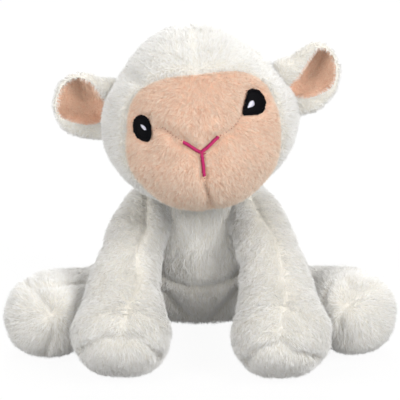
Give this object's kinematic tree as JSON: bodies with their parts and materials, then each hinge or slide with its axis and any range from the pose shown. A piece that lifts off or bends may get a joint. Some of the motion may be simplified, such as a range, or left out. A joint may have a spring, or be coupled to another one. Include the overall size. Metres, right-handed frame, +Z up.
{
  "type": "plush lamb",
  "caption": "Seated plush lamb with a round peach face, cupped ears, stuffed legs that swing and a head that turns and tilts.",
  "frame": {"origin": "middle of the flat seat, on the surface that the lamb sits on", "axes": "+Z up, the face looks towards -Y, +X is the lamb's own left"},
  "size_m": [0.2436, 0.1906, 0.2034],
  "materials": {
    "white_plush": "short cream-white pile",
    "peach_velour": "short peach pile",
    "black_thread": "satin stitch embroidery",
    "silver_thread": "satin stitch embroidery",
    "pink_thread": "satin stitch embroidery",
    "sewing_thread": "sewing thread",
    "fibre_fill": "loose polyester fibre",
    "pellet_fill": "small round pellets in a cloth pouch"
  },
  "bodies": {
    "torso": {"torso_front_panel": "white_plush", "torso_back_panel_left": "white_plush", "torso_back_panel_right": "white_plush", "torso_base_panel": "white_plush", "torso_stuffing": "fibre_fill", "seat_pellet_pouch": "pellet_fill"},
    "neck": {"neck_stitching": "sewing_thread"},
    "head": {"crown_left": "white_plush", "crown_right": "white_plush", "hood_left": "white_plush", "hood_right": "white_plush", "face_bridge": "peach_velour", "cheek_left": "peach_velour", "cheek_right": "peach_velour", "head_stuffing": "fibre_fill", "eye_left": "black_thread", "eye_glint_left": "silver_thread", "eye_right": "black_thread", "eye_glint_right": "silver_thread", "mouth_stitch": "pink_thread"},
    "ear_left": {"ear_outer_left": "white_plush", "ear_lining_left": "peach_velour"},
    "ear_right": {"ear_outer_right": "white_plush", "ear_lining_right": "peach_velour"},
    "foreleg_left": {"foreleg_skin_left": "white_plush", "forefoot_sole_left": "white_plush", "foreleg_stuffing_left": "fibre_fill", "forefoot_pellets_left": "pellet_fill"},
    "foreleg_right": {"foreleg_skin_right": "white_plush", "forefoot_sole_right": "white_plush", "foreleg_stuffing_right": "fibre_fill", "forefoot_pellets_right": "pellet_fill"},
    "hindleg_left": {"hindleg_skin_left": "white_plush", "hindleg_stuffing_left": "fibre_fill", "hindfoot_pellets_left": "pellet_fill"},
    "hindleg_right": {"hindleg_skin_right": "white_plush", "hindleg_stuffing_right": "fibre_fill", "hindfoot_pellets_right": "pellet_fill"},
    "tail": {"tail": "white_plush"}
  },
  "joints": [
    {"name": "neck_turn", "type": "hinge", "parent": "torso", "child": "neck", "pos_m": [0, -0.013, 0.092], "axis": [0, 0, 1], "range_deg": [-15, 15]},
    {"name": "head_tilt", "type": "hinge", "parent": "neck", "child": "head", "pos_m": [0, -0.013, 0.092], "axis": [0, 1, 0], "range_deg": [-4, 10]},
    {"name": "ear_left_flap", "type": "hinge", "parent": "head", "child": "ear_left", "pos_m": [0.0529, -0.036, 0.1675], "axis": [-0.1392, 0, 0.9903], "range_deg": [-20, 20], "stiffness_Nm_per_rad": 0.003},
    {"name": "ear_right_flap", "type": "hinge", "parent": "head", "child": "ear_right", "pos_m": [-0.057, -0.036, 0.1521], "axis": [-0.1392, 0, 0.9903], "range_deg": [-20, 20], "stiffness_Nm_per_rad": 0.003},
    {"name": "foreleg_left_swing", "type": "hinge", "parent": "torso", "child": "foreleg_left", "pos_m": [0.034, -0.034, 0.081], "axis": [1, 0, 0], "range_deg": [-35, 0]},
    {"name": "foreleg_right_swing", "type": "hinge", "parent": "torso", "child": "foreleg_right", "pos_m": [-0.034, -0.034, 0.081], "axis": [-1, 0, 0], "range_deg": [0, 35]},
    {"name": "hindleg_left_splay", "type": "hinge", "parent": "torso", "child": "hindleg_left", "pos_m": [0.042, -0.012, 0.021], "axis": [0, 0, 1], "range_deg": [0, 35]},
    {"name": "hindleg_right_splay", "type": "hinge", "parent": "torso", "child": "hindleg_right", "pos_m": [-0.042, -0.012, 0.021], "axis": [0, 0, -1], "range_deg": [0, 35]},
    {"name": "tail_lift", "type": "hinge", "parent": "torso", "child": "tail", "pos_m": [0, 0.041, 0.034], "axis": [1, 0, 0], "range_deg": [-11, 34], "stiffness_Nm_per_rad": 0.003}
  ]
}
